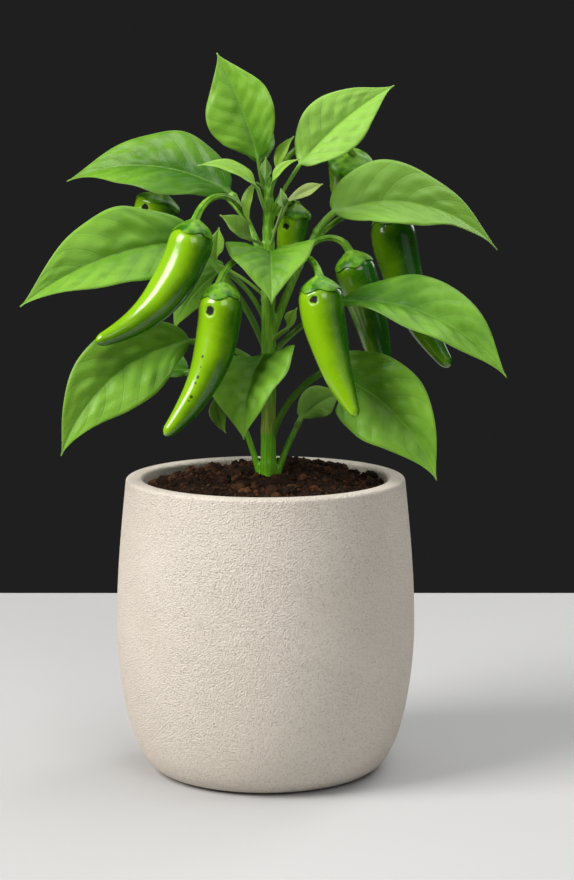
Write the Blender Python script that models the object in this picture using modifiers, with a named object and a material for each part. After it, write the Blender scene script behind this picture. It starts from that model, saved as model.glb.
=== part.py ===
"""A chilli pepper plant growing in a rounded stone pot.

The pot is a turned shell and the soil fills it.  Everything green is grown the way
a plant grows: an organ leaves the stem at a height, follows an arc that keeps its
heading while its rise changes evenly, and ends in a blade or in a hanging pod.
Lengths in the tables are millimetres and angles are degrees.  Heading 0 points
along +X and 90 along +Y; rise 90 points straight up.
"""

import math

import bmesh
import bpy
from mathutils import Matrix, Vector, noise

MM = 0.001                     # one millimetre in Blender's metres
GAP = 0.3                      # clear space kept between the stem and what it bears
ROOM = 0.5                     # the same round a pod and round the soil, whose sides slope

# ---------------------------------------------------------------- pot and soil
POT_HEIGHT = 179.0
POT_FLAT_RADIUS = 53.0         # the flat ring the pot stands on
POT_BELLY_RADIUS = 90.0
POT_BELLY_HEIGHT = 86.0
POT_MOUTH_RADIUS = 84.0        # outside, just under the lip
POT_WALL = 10.4
POT_FLOOR = 14.0
LIP_ROUND = 2.6
POT_STEPS = 36                 # facets round the pot and round the soil

SOIL_EDGE_HEIGHT = 171.5
SOIL_PLATEAU_HEIGHT = 178.6
SOIL_HUMP = (12.0, 42.0, 4.2, 26.0)      # x, y, height and spread of the back hump
CRUMB_RELIEF = 1.1
SOIL_RINGS = 8

# ------------------------------------------------------------------------ stem
STEM_X = 1.8                   # the stem stands this far right of the pot's centre
# height above the table and radius of the main stem
STEM_SHAPE = ((132, 4.8), (178, 5.0), (190, 4.7), (204, 4.4), (240, 4.3), (262, 4.3),
              (285, 3.9), (308, 3.6), (330, 3.2), (345, 2.6), (355, 1.7), (361, 0.9))
# branch: height on the stem, heading, length, rise at foot and end, radii
BRANCHES = {
    "right": (257, 28, 74, 71, 58, 2.7, 2.2),
    "left": (303, 146, 49, 64, 56, 2.5, 2.1),
    "base_right": (156, 30, 56, 81, 57, 2.5, 1.8),
    "base_left": (150, 167, 66, 83, 67, 2.2, 1.7),
}

# ---------------------------------------------------------------------- leaves
# Each leaf: where it springs (limb, and height on the stem or share of the branch),
# its stalk (heading, length, rise at heel, rise at blade, radius), and its blade
# (heading, length, width, rise at base, rise at tip, roll at base, roll at tip,
# share of the length where it is widest).
# Roll turns the upper face about the midrib, to the right of the heading.
LEAVES = {
    "leaf_crown_left": ("stem", 342, (150, 28, 69, 83, 1.3),
                        (160, 67, 43, 73, 61, -90, -84, 0.42)),
    "leaf_crown_right": ("stem", 334, (-6, 37, 63, 55, 1.2),
                         (18, 75, 38, 49, 27, 62, 52, 0.40)),
    "leaf_crown_back": ("stem", 352, (106, 24, 42, 30, 1.0),
                        (113, 48, 26, 54, 30, 0, 8, 0.36)),
    "leaf_upper_left": ("left", 1.0, (149, 6, 40, 34, 2.0),
                        (155, 114, 46, 27, -23, -50, -46, 0.36)),
    "leaf_upper_right": ("right", 1.0, (12, 17, 58, 38, 2.1),
                         (21, 118, 52, 20, -46, 46, 42, 0.32)),
    "leaf_upper_back": ("stem", 286, (86, 34, 51, 16, 1.5),
                        (81, 78, 42, 16, -44, 0, 0, 0.36)),
    "leaf_middle_left": ("stem", 250, (178, 84, 72, 42, 1.8),
                         (206, 116, 51, 1, -36, -54, -50, 0.36)),
    "leaf_middle_right": ("stem", 250, (-14, 55, 51, 27, 1.7),
                          (-21, 117, 47, 10, -52, 18, 48, 0.44)),
    "leaf_inner_left": ("stem", 264, (155, 51, 78, 24, 1.4),
                        (172, 48, 30, -34, -69, -55, -50, 0.36)),
    "leaf_lower_left": ("stem", 240, (190, 54, 49, -1, 1.8),
                        (205, 109, 47, -5, -71, -72, -70, 0.42)),
    "leaf_lower_right": ("stem", 186, (-23, 72, 88, 28, 1.9),
                         (-26, 98, 50, -12, -68, 72, 70, 0.42)),
    "leaf_lower_back": ("stem", 228, (98, 38, 30, 0, 1.5),
                        (97, 70, 34, 4, -50, 0, 0, 0.36)),
    "leaf_low_back_left": ("stem", 233, (151, 58, 18, -7, 2.1),
                           (148, 77, 40, 7, -43, -25, -20, 0.36)),
    "leaf_front_upper": ("stem", 307, (-82, 14, 58, 8, 1.4),
                         (-89, 52, 52, 8, -78, 3, 3, 0.28)),
    "leaf_front_lower": ("stem", 245, (-101, 16, 58, 8, 1.4),
                         (-112, 60, 60, -18, -94, 10, 10, 0.27)),
    "sprout_base_right": ("base_right", 1.0, (39, 6, 64, 54, 1.7),
                          (18, 30, 21, 45, 11, 60, 60, 0.45)),
    "sprout_base_left": ("base_left", 1.0, (172, 23.5, 92, -2, 1.5),
                         (145, 26, 11, -76, -138, -150, -150, 0.45)),
    "sprout_knob": ("stem", 285, (164, 39, 45, 20, 1.0),
                    (180, 22, 9, 93, 97, -100, -100, 0.60)),
    "sprout_left": ("stem", 317, (208, 12, 24, 19, 0.9),
                    (190, 24, 13, 48, 28, -60, -60, 0.45)),
    "sprout_arched": ("stem", 334, (239, 21, 52, 62, 1.2),
                      (183, 40, 11, 54, -12, -40, -40, 0.45)),
    "sprout_hanging": ("stem", 340, (203, 18, 100, 26, 0.8),
                       (198, 26, 8, -50, -112, -30, -30, 0.45)),
    "sprout_pale": ("stem", 319, (-34, 29, 58, 64, 1.1),
                    (-6, 23, 8, 30, 22, 60, 60, 0.60)),
    "sprout_axil": ("stem", 312, (-60, 34, 64, 54, 0.8),
                    (-140, 11, 8, 77, 87, 0, 0, 0.45)),
    "sprout_crown": ("stem", 344, (-69, 10, 60, 50, 1.0),
                     (-8, 25, 7, 80, 10, 50, 50, 0.35)),
    "sprout_tall": ("stem", 351, (8, 13, 68, 64, 0.9),
                    (6, 22, 8, 82, 42, 50, 50, 0.45)),
    "sprout_bud": ("stem", 350, (-112, 8, 60, 66, 0.9),
                   (-89, 13, 7, 83, 78, 0, 0, 0.40)),
    "sprout_small_right": ("stem", 259, (-36, 17, 40, 30, 1.4),
                           (-10, 14, 9, 70, 60, 60, 60, 0.45)),
}

BLADE_THICKNESS = 0.7
MIDRIB_DEPTH = 1.2             # how far the rib stands out under the blade's base
BASE_FULLNESS = 0.65           # exponent of the outline between base and belly
TIP_FINENESS = 1.4             # exponent of the outline between belly and tip
BLADE_FOLD = 0.42              # rise of each half from the midrib, per half width
BLADE_CAMBER = 0.12            # how much the halves curve back down at the edge
EDGE_WAVE = 0.05               # height of the edge's waves, per half width
EDGE_WAVES = 2.6
TIP_HALF_WIDTH = 0.45
HALF_COLUMNS = 2               # facets between midrib and edge
SMALL_LEAF = 40.0              # blades shorter than this have fewer rings
BLADE_RINGS = 10
SMALL_BLADE_RINGS = 5
STALK_RING_SPACE = 16.0        # length of stalk between two of its rings

# ---------------------------------------------------------------- chilli pods
# Each pod: where it springs, its stalk (heading, length, rise at heel, rise at pod),
# and the pod (heading, length, width, rise at calyx, rise at tip, taper).
PODS = {
    "1": ("left", 0.66, (-123, 64, 59, -57), (-157, 95, 26.5, -80, -14, 0.78)),
    "2": ("stem", 300, (-123, 59, 51, -59), (-154, 95, 26.0, -94, -40, 0.76)),
    "3": ("right", 0.70, (-77, 55, 30, -40), (-40, 83, 26.5, -86, -54, 0.80)),
    "4": ("right", 0.80, (0, 36, 70, -70), (11, 74, 24.5, -71, -77, 0.56)),
    "5": ("right", 0.70, (41, 86, 56, -14), (-24, 103, 28.0, -86, -48, 0.74)),
    "6": ("stem", 346, (45, 88, 73, -39), (100, 40, 27.0, -52, -48, 0.70)),
    "7": ("left", 0.60, (139, 81, 55, -31), (-160, 53, 28.0, -70, -55, 0.75)),
    "8": ("stem", 326, (42, 29, 83, -17), (146, 44, 19.5, -81, -81, 0.65)),
}
POD_SIDES = 10
POD_SHARES = (0.0, 0.035, 0.09, 0.16, 0.29, 0.43, 0.57, 0.71, 0.84, 0.93, 0.98, 1.0)
STALK_RADIUS = 1.8             # pedicel at its heel
STALK_END_RADIUS = 2.4         # pedicel where it opens into the calyx
STALK_SHARES = (0.0, 0.2, 0.4, 0.6, 0.8, 1.0)
CALYX_LENGTH = 6.5             # how far the calyx's teeth reach down over the pod
CALYX_THICKNESS = 1.2
CALYX_RIM = 0.7                # its thickness at the rim
CALYX_NECK = 3.4               # from the end of the pedicel to the top of the pod
CALYX_TEETH = 0.4              # depth of the notches between its teeth

COLOURS = {
    "pot_stone": ((0.62, 0.55, 0.46), 0.85),
    "soil_brown": ((0.045, 0.022, 0.014), 0.95),
    "stem_green": ((0.16, 0.34, 0.03), 0.5),
    "leaf_green": ((0.11, 0.30, 0.03), 0.45),
    "pod_green": ((0.17, 0.36, 0.008), 0.2),
    "calyx_green": ((0.10, 0.27, 0.015), 0.4),
}


# ------------------------------------------------------------------ scene tools
def clear_scene():
    for obj in list(bpy.data.objects):
        bpy.data.objects.remove(obj, do_unlink=True)


def new_collection(name):
    collection = bpy.data.collections.new(name)
    bpy.context.scene.collection.children.link(collection)
    return collection


def make_material(name):
    colour, roughness = COLOURS[name]
    material = bpy.data.materials.new(name)
    material.use_nodes = True
    shader = material.node_tree.nodes["Principled BSDF"]
    shader.inputs["Base Color"].default_value = (*colour, 1.0)
    shader.inputs["Roughness"].default_value = roughness
    shader.inputs["Metallic"].default_value = 0.0
    return material


def add_object(name, mesh, collection, material=None):
    obj = bpy.data.objects.new(name, mesh)
    collection.objects.link(obj)
    if material:
        mesh.materials.clear()
        mesh.materials.append(material)
    return obj


def apply_modifiers(obj):
    """Replace the object's mesh with what its modifiers make of it."""
    bpy.context.view_layer.update()
    evaluated = obj.evaluated_get(bpy.context.evaluated_depsgraph_get())
    mesh = bpy.data.meshes.new_from_object(evaluated)
    obj.modifiers.clear()
    obj.data = mesh


def cut(obj, *cutters):
    """Take the cutters out of the object."""
    for cutter in cutters:
        modifier = obj.modifiers.new("cut", "BOOLEAN")
        modifier.operation = "DIFFERENCE"
        modifier.object = cutter
    apply_modifiers(obj)


def join_all(obj, others, collection_name):
    """Union the object with other closed meshes, then remove those."""
    group = new_collection(collection_name)
    for other in others:
        group.objects.link(other)
    modifier = obj.modifiers.new("join", "BOOLEAN")
    modifier.operation = "UNION"
    modifier.operand_type = "COLLECTION"
    modifier.collection = group
    apply_modifiers(obj)
    for other in others:
        bpy.data.objects.remove(other, do_unlink=True)
    bpy.data.collections.remove(group)


# ------------------------------------------------------------------- geometry
def blend(a, b, t):
    return a + (b - a) * t


def heading_vector(heading, rise):
    flat = math.cos(math.radians(rise))
    return Vector((flat * math.cos(math.radians(heading)),
                   flat * math.sin(math.radians(heading)),
                   math.sin(math.radians(rise))))


def arc_point(start, heading, length, rise_a, rise_b, share):
    """The point at a share of an arc whose rise changes evenly from rise_a to rise_b."""
    steps = 12
    point = Vector(start)
    for step in range(steps):
        rise = blend(rise_a, rise_b, share * (step + 0.5) / steps)
        point += heading_vector(heading, rise) * (length * share / steps)
    return point


def stem_point(height):
    return Vector((STEM_X, 0.0, height))


def limb_point(limb, place):
    """A point on the stem's axis at a height, or on a branch at a share of it."""
    if limb == "stem":
        return stem_point(place)
    foot, heading, length, rise_a, rise_b = BRANCHES[limb][:5]
    return arc_point(stem_point(foot), heading, length, rise_a, rise_b, place)


def tube_mesh(name, points, radii, resolution):
    """A closed tube through points in millimetres, with its own radius at each."""
    curve = bpy.data.curves.new(name, "CURVE")
    curve.dimensions = "3D"
    curve.bevel_depth = MM
    curve.bevel_resolution = resolution
    curve.use_fill_caps = True
    spline = curve.splines.new("POLY")
    spline.points.add(len(points) - 1)
    for slot, point, radius in zip(spline.points, points, radii):
        slot.co = (*(point * MM), 1.0)
        slot.radius = radius
    obj = bpy.data.objects.new(name, curve)
    bpy.context.scene.collection.objects.link(obj)
    bpy.context.view_layer.update()
    evaluated = obj.evaluated_get(bpy.context.evaluated_depsgraph_get())
    mesh = bpy.data.meshes.new_from_object(evaluated)
    bpy.data.objects.remove(obj, do_unlink=True)
    bpy.data.curves.remove(curve)
    bm = bmesh.new()
    bm.from_mesh(mesh)
    bmesh.ops.remove_doubles(bm, verts=bm.verts, dist=0.005 * MM)
    bmesh.ops.recalc_face_normals(bm, faces=bm.faces)
    bm.to_mesh(mesh)
    bm.free()
    mesh.name = name
    mesh.shade_smooth()
    return mesh


def turned_mesh(name, profile):
    """Turn a profile of (radius, height) pairs about the Z axis."""
    mesh = bpy.data.meshes.new(name)
    bm = bmesh.new()
    corners = [bm.verts.new((radius * MM, 0.0, height * MM)) for radius, height in profile]
    for first, second in zip(corners, corners[1:]):
        bm.edges.new((first, second))
    bm.to_mesh(mesh)
    bm.free()
    obj = bpy.data.objects.new(name, mesh)
    bpy.context.scene.collection.objects.link(obj)
    screw = obj.modifiers.new("turn", "SCREW")
    screw.steps = POT_STEPS
    screw.render_steps = POT_STEPS
    screw.use_merge_vertices = True
    screw.merge_threshold = 0.00001
    apply_modifiers(obj)
    turned = obj.data
    bpy.data.objects.remove(obj, do_unlink=True)
    return turned


# ---------------------------------------------------------------- pot and soil
def corner_arc(centre, radius_x, radius_z, start, end, steps):
    """Points of an elliptical corner, from one angle to another."""
    points = []
    for step in range(steps + 1):
        angle = math.radians(blend(start, end, step / steps))
        points.append((centre[0] + radius_x * math.cos(angle),
                       centre[1] + radius_z * math.sin(angle)))
    return points


def pot_outside():
    """The outer wall from just under the lip down to the flat ring."""
    upper = []
    for step in range(4):
        share = step / 4
        height = blend(POT_HEIGHT - LIP_ROUND, POT_BELLY_HEIGHT, share)
        swell = math.sin(share * math.pi / 2)
        upper.append((blend(POT_MOUTH_RADIUS, POT_BELLY_RADIUS, swell), height))
    foot_radius = POT_BELLY_RADIUS - POT_FLAT_RADIUS
    lower = []
    for step in range(8):
        angle = math.radians(90 * step / 7)
        lower.append((POT_FLAT_RADIUS + foot_radius * math.cos(angle) ** 0.62,
                      POT_BELLY_HEIGHT * (1 - math.sin(angle) ** 1.25)))
    return upper + lower


def pot_inside():
    """The inner wall from the floor's centre up to just under the lip."""
    floor_radius = POT_FLAT_RADIUS - 6.0
    wall = []
    for radius, height in reversed(pot_outside()):
        inner = radius - POT_WALL
        if inner > floor_radius + 8.0 and height > POT_FLOOR + 12.0:
            wall.append((inner, height))
    return [(0.0, POT_FLOOR), (floor_radius, POT_FLOOR)] + wall


def make_pot():
    inside = pot_inside()
    outside = pot_outside()
    mouth = inside[-1][0]
    lip_half = (POT_MOUTH_RADIUS - mouth) / 2
    lip = corner_arc((mouth + lip_half, POT_HEIGHT - LIP_ROUND), lip_half, LIP_ROUND,
                     150, 30, 3)
    profile = inside + lip + outside + [(0.0, 0.0)]
    return add_object("pot", turned_mesh("pot", profile), PARTS, MATERIALS["pot_stone"])


def soil_height(x, y):
    """The soil's surface: a plateau that falls to the wall, with a hump at the back."""
    reach = math.hypot(x, y) / (POT_MOUTH_RADIUS - POT_WALL)
    height = blend(SOIL_PLATEAU_HEIGHT, SOIL_EDGE_HEIGHT, reach ** 3)
    hump_x, hump_y, rise, spread = SOIL_HUMP
    height += rise * math.exp(-((x - hump_x) ** 2 + (y - hump_y) ** 2) / (2 * spread ** 2))
    crumbs = noise.noise(Vector((x, y, 0.0)) / 6.0) + 0.6 * noise.noise(Vector((x, y, 9.0)) / 3.0)
    return height + CRUMB_RELIEF * crumbs * (1 - reach ** 8)


def make_soil(clearance):
    wall = [(radius - ROOM, height) for radius, height in pot_inside()
            if height < SOIL_EDGE_HEIGHT - 3.0]
    wall[0] = (0.0, POT_FLOOR + ROOM)
    wall[1] = (wall[1][0], POT_FLOOR + ROOM)
    # the rim stands on the pot's inner facet, at the height of the soil's edge
    below = wall[-1]
    above = next((radius - ROOM, height) for radius, height in pot_inside()
                 if height > below[1])
    share = (SOIL_EDGE_HEIGHT - below[1]) / (above[1] - below[1])
    rim_radius = blend(below[0], above[0], share)
    top = [(rim_radius * step / SOIL_RINGS, SOIL_EDGE_HEIGHT)
           for step in range(SOIL_RINGS + 1)]
    mesh = turned_mesh("soil", top + wall[::-1])
    for vertex in mesh.vertices:
        x, y, z = vertex.co / MM
        if z > SOIL_EDGE_HEIGHT - 0.01 and math.hypot(x, y) < rim_radius - 0.5:
            vertex.co.z = soil_height(x, y) * MM
    soil = add_object("soil", mesh, PARTS, MATERIALS["soil_brown"])
    cut(soil, clearance)


# ------------------------------------------------------------------------ stem
def branch_tube(name, extra):
    foot, heading, length, rise_a, rise_b, radius_a, radius_b = BRANCHES[name]
    shares = [0.0, 0.2, 0.4, 0.6, 0.8, 1.0 + extra / length]
    points = [arc_point(stem_point(foot), heading, length, rise_a, rise_b, share)
              for share in shares]
    radii = [blend(radius_a, radius_b, share) + extra for share in shares]
    return tube_mesh("branch_" + name, points, radii, 2)


def stem_solid(name, extra):
    """The main stem with its branches as one mesh, grown outwards by extra."""
    points = [stem_point(height) for height, radius in STEM_SHAPE]
    points[0].z -= extra
    points[-1].z += extra
    radii = [radius + extra for height, radius in STEM_SHAPE]
    stem = add_object(name, tube_mesh(name, points, radii, 3), PARTS)
    branches = [add_object("branch_" + branch, branch_tube(branch, extra), PARTS)
                for branch in BRANCHES]
    join_all(stem, branches, name + "_branches")
    return stem


def make_stem():
    stem = stem_solid("stem", 0.0)
    stem.data.materials.clear()
    stem.data.materials.append(MATERIALS["stem_green"])
    grown = stem_solid("stem_clearance", GAP)
    PARTS.objects.unlink(grown)
    CUTTERS.objects.link(grown)
    grown.hide_render = True
    grown.display_type = "WIRE"
    return grown


# ---------------------------------------------------------------------- leaves
def outline(share, belly):
    """Half width of a blade along its length, 1 at the belly and 0 at both ends."""
    if share < belly:
        return math.sin(math.pi / 2 * share / belly) ** BASE_FULLNESS
    closing = math.pi / 2 * (share - belly) / (1 - belly)
    return max(math.cos(closing), 0.0) ** TIP_FINENESS


def blade_section(share, half_width, belly, stalk_radius, phase):
    """One closed ring of (side, height) pairs: a round stalk that opens into a blade."""
    columns = 2 * HALF_COLUMNS + 1
    opened = min(share / 0.12, 1.0)
    width = max(half_width * outline(share, belly), TIP_HALF_WIDTH * opened)
    ring = []
    for row in (1, -1):
        for column in range(columns):
            across = row * (column / HALF_COLUMNS - 1)
            angle = math.radians(row * (90 - 90 * across * (columns - 1) / columns))
            wave = math.sin(2 * math.pi * EDGE_WAVES * share + phase + 1.9 * (across > 0))
            height = width * (BLADE_FOLD * abs(across) - BLADE_CAMBER * across ** 2
                              + EDGE_WAVE * wave * across ** 2)
            height += row * BLADE_THICKNESS / 2
            if row < 0 and column == HALF_COLUMNS:
                height -= MIDRIB_DEPTH * (1 - share)
            side = across * width + (1 - opened) * stalk_radius * math.cos(angle)
            ring.append((side, opened * height + (1 - opened) * stalk_radius * math.sin(angle)))
    return ring


def leaf_rings(start, stalk, blade, phase):
    """Rings of points along the stalk and the blade."""
    heading, length, rise_a, rise_b, stalk_radius = stalk
    blade_heading, blade_length, width, rise_c, rise_d, roll_a, roll_b, belly = blade
    small = blade_length < SMALL_LEAF
    count = SMALL_BLADE_RINGS if small else BLADE_RINGS
    stalk_count = 1 + round(length / STALK_RING_SPACE)
    stations = []
    for step in range(stalk_count):
        share = step / stalk_count
        point = arc_point(start, heading, length, rise_a, rise_b, share)
        stations.append((point, heading, blend(rise_a, rise_b, share), 0.0, roll_a))
    base = arc_point(start, heading, length, rise_a, rise_b, 1.0)
    for step in range(count + 1):
        share = (step / count) ** 0.92 if step < count else 1.0
        point = arc_point(base, blade_heading, blade_length, rise_c, rise_d, share)
        turned = min(step / 2, 1.0)
        stations.append((point, blend(heading, blade_heading, turned),
                         blend(rise_b, blend(rise_c, rise_d, share), turned),
                         share, blend(roll_a, roll_b, share)))
    rings = []
    for point, facing, rise, share, roll in stations:
        forward = heading_vector(facing, rise)
        side = heading_vector(facing - 90, 0)
        up = side.cross(forward)
        turn = Matrix.Rotation(math.radians(roll), 3, forward)
        side = turn @ side
        up = turn @ up
        section = blade_section(share, width / 2, belly, stalk_radius, phase)
        rings.append([point + side * across + up * height for across, height in section])
    return rings


def skin_mesh(name, rings):
    """Roll a grid into a closed skin through the rings, split alike on both faces."""
    around = len(rings[0])
    bm = bmesh.new()
    bmesh.ops.create_grid(bm, x_segments=around, y_segments=len(rings) - 1, size=1.0)
    bm.verts.ensure_lookup_table()
    for index, vertex in enumerate(bm.verts):
        ring, place = divmod(index, around + 1)
        vertex.co = rings[ring][place % around] * MM
        vertex.index = index
    half = around // 2
    for face in list(bm.faces):
        corners = sorted(face.verts, key=lambda vertex: vertex.index)
        place = corners[0].index % (around + 1)
        rising = place % half >= half // 2
        pair = (corners[0], corners[3]) if rising else (corners[1], corners[2])
        bmesh.utils.face_split(face, *pair)
    bmesh.ops.remove_doubles(bm, verts=bm.verts, dist=0.001 * MM)
    bmesh.ops.holes_fill(bm, edges=bm.edges, sides=around)
    bmesh.ops.recalc_face_normals(bm, faces=bm.faces)
    mesh = bpy.data.meshes.new(name)
    bm.to_mesh(mesh)
    bm.free()
    mesh.shade_smooth()
    return mesh


def make_leaf(number, name, clearance):
    limb, place, stalk, blade = LEAVES[name]
    rings = leaf_rings(limb_point(limb, place), stalk, blade, 2.1 * number)
    leaf = add_object(name, skin_mesh(name, rings), PARTS, MATERIALS["leaf_green"])
    cut(leaf, clearance)
    leaf.data.shade_smooth()
    return leaf


# ------------------------------------------------------------------------ pods
def pod_radius(share, width, taper):
    """Half the pod's thickness: a full shoulder, an even taper and a blunt tip."""
    shoulder = 0.42 + 0.58 * (1 - (1 - min(share / 0.15, 1.0)) ** 2.6)
    body = 1 - taper * share ** 2
    tip = math.sqrt(max(1 - (max(share - 0.92, 0.0) / 0.08) ** 2, 0.04))
    return width / 2 * shoulder * body * tip


def circle(centre, side, forward, radius):
    """A ring of points round a centre, square to the forward direction."""
    up = side.cross(forward)
    ring = []
    for place in range(POD_SIDES):
        angle = 2 * math.pi * place / POD_SIDES
        ring.append(centre + (side * math.cos(angle) + up * math.sin(angle)) * radius)
    return ring


def pod_ring(top, pod, share, extra, teeth=0.0):
    """A ring on the pod's skin or outside it; teeth pull every other point back."""
    heading, length, width, rise_a, rise_b, taper = pod
    side = heading_vector(heading - 90, 0)
    ring = []
    for place in range(POD_SIDES):
        own = share * (1 - teeth * (place % 2))
        centre = arc_point(top, heading, length, rise_a, rise_b, own)
        forward = heading_vector(heading, blend(rise_a, rise_b, own))
        radius = pod_radius(own, width, taper) + extra
        ring.append(circle(centre, side, forward, radius)[place])
    return ring


def pedicel_rings(start, stalk, neck, pod_side):
    """Rings from the heel to the calyx, turned as little as possible on the way."""
    heading, length, rise_a, rise_b = stalk
    reach = 1 - 1.5 * neck.length / length
    side = pod_side
    rings = []
    for share in reversed(STALK_SHARES):
        forward = heading_vector(heading, blend(rise_a, rise_b, share * reach))
        side = (side - forward * side.dot(forward)).normalized()
        centre = arc_point(start, heading, length, rise_a, rise_b, share * reach)
        centre -= neck * (share * reach) ** 2
        radius = blend(STALK_RADIUS, STALK_END_RADIUS * 0.9, share ** 3)
        rings.insert(0, circle(centre, side, forward, radius))
    return rings


def calyx_rings(start, stalk, top, pod):
    """The curved stalk, the cap that it opens into, and the cap's hollow underside."""
    pod_heading, pod_length, width, rise_c, rise_d, taper = pod
    axis = heading_vector(pod_heading, rise_c)
    side = heading_vector(pod_heading - 90, 0)
    lid = ROOM + CALYX_THICKNESS
    rim = min(CALYX_LENGTH / pod_length, POD_SHARES[2])
    neck = axis * CALYX_NECK
    crown = pod_radius(0.0, width, taper)
    rings = pedicel_rings(start, stalk, neck, side)
    rings.append(circle(top - neck, side, axis, STALK_END_RADIUS))
    rings.append(circle(top - axis * lid, side, axis, 0.85 * crown))
    rings.append(pod_ring(top, pod, 0.0, ROOM + 0.8 * CALYX_THICKNESS))
    rings.append(pod_ring(top, pod, POD_SHARES[1], lid))
    rings.append(pod_ring(top, pod, rim, ROOM + CALYX_RIM, CALYX_TEETH))
    rings.append(pod_ring(top, pod, rim, ROOM, CALYX_TEETH))
    rings.append(pod_ring(top, pod, POD_SHARES[1], ROOM))
    rings.append(pod_ring(top, pod, 0.0, ROOM))
    rings.append(circle(top - axis * ROOM, side, axis, 0.9 * crown))
    return rings


def make_pod(number, clearance):
    limb, place, stalk, pod = PODS[number]
    start = limb_point(limb, place)
    top = arc_point(start, *stalk, 1.0)
    body = skin_mesh("pod_" + number, [pod_ring(top, pod, share, 0.0) for share in POD_SHARES])
    add_object("pod_" + number, body, PARTS, MATERIALS["pod_green"])
    cap = skin_mesh("calyx_" + number, calyx_rings(start, stalk, top, pod))
    calyx = add_object("calyx_" + number, cap, PARTS, MATERIALS["calyx_green"])
    cut(calyx, clearance)
    calyx.data.shade_smooth()


# ----------------------------------------------------------------------- build
clear_scene()
PARTS = new_collection("potted_chilli_plant")
CUTTERS = new_collection("cutters")
MATERIALS = {material: make_material(material) for material in COLOURS}

stem_clearance = make_stem()
make_pot()
make_soil(stem_clearance)
for order, leaf_name in enumerate(LEAVES):
    make_leaf(order, leaf_name, stem_clearance)
for pod_name in PODS:
    make_pod(pod_name, stem_clearance)
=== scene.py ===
# %% [markdown]
# # A chilli pepper plant in a stone pot
# The construction is already there as plain faceted solids, packed in one frame.
# This lesson dresses them: every solid is replaced by a finer piece that grows from
# the same measures, and gets a finish of its own. Lengths in the tables are
# millimetres and angles are degrees, as a gardener would note them down; Blender
# works in metres, so each length is multiplied by MM when a mesh is made.

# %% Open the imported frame
import math

import bpy
from mathutils import Matrix, Vector, noise


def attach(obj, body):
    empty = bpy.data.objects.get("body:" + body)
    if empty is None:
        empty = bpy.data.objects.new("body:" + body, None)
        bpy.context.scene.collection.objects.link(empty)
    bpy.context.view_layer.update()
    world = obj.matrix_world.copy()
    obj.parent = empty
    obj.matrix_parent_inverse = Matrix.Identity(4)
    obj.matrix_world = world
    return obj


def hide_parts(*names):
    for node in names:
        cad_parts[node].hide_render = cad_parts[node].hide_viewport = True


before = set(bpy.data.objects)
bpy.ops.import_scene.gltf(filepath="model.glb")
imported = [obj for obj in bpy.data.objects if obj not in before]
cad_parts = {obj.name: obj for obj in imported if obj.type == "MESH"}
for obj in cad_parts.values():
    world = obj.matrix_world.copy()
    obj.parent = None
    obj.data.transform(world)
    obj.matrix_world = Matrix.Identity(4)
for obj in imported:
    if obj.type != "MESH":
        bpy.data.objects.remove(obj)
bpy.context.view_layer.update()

MM = 0.001

# %% [markdown]
# ## Camera, floor and light
# The plant stands on a plain pale table top in a studio. A camera a step and a half
# away looks slightly down on it, with a long lens, so that the pot's sides stay
# nearly upright. The picture is taller than wide, so the lens is given by its height:
# the focal length is so many times the height of the sensor.

# %% Place the camera
SENSOR_HEIGHT = 24.0
FOCAL_HEIGHTS = 2.8704545
CAMERA_PLACE = (0.0129, -1.5, 0.419)
CAMERA_TARGET = (0.0129, 0.0, 0.201)


def add_object(name, data):
    """Put the data into the scene as an object at the origin."""
    thing = bpy.data.objects.new(name, data)
    bpy.context.scene.collection.objects.link(thing)
    return thing


def point_at(thing, place, target):
    """Stand a camera or a lamp at a place and turn it to a target."""
    thing.location = place
    thing.rotation_euler = (Vector(target) - Vector(place)).to_track_quat("-Z", "Y").to_euler()


camera_data = bpy.data.cameras.new("studio_camera")
camera_data.sensor_fit = "VERTICAL"
camera_data.sensor_height = SENSOR_HEIGHT
camera_data.lens = SENSOR_HEIGHT * FOCAL_HEIGHTS
camera = add_object("studio_camera", camera_data)
point_at(camera, CAMERA_PLACE, CAMERA_TARGET)
bpy.context.scene.camera = camera
print("lens in mm:", round(camera_data.lens, 1))

# %% [markdown]
# The table top is a square slab with the pot in its middle. Its far edge lies half a
# metre behind the pot. It is kept apart from the plant.

# %% Lay the table top
TABLE_HALF_WIDTH = 517.0
TABLE_DEPTH = 20.0
TABLE_GAP = 0.05


def mesh_piece(name, points, faces, edges=(), smooth=True):
    """An object at the origin from points in millimetres."""
    mesh = bpy.data.meshes.new(name)
    mesh.from_pydata([Vector(point) * MM for point in points], edges, faces)
    mesh.update()
    if smooth:
        mesh.shade_smooth()
    return add_object(name, mesh)


def square(height):
    half = TABLE_HALF_WIDTH
    return [(-half, -half, height), (half, -half, height), (half, half, height),
            (-half, half, height)]


walls = [(k, 4 + k, 4 + (k + 1) % 4, (k + 1) % 4) for k in range(4)]
table_top = mesh_piece("table_top", square(-TABLE_GAP) + square(-TABLE_GAP - TABLE_DEPTH),
                       [(0, 1, 2, 3), (7, 6, 5, 4)] + walls, smooth=False)
print("table top in mm:", 2 * TABLE_HALF_WIDTH)

# %% [markdown]
# One large soft box stands high on the left and a little in front. It draws the long
# highlights on the pods and lets the pot fall off into shade on its right. A weaker
# one in front and one overhead open the shadows, a faint one on the right and one
# behind light the rims of the leaves, and the dark grey room around gives the rest.
# All of them stand far enough off to light the plant and the table evenly.

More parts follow.
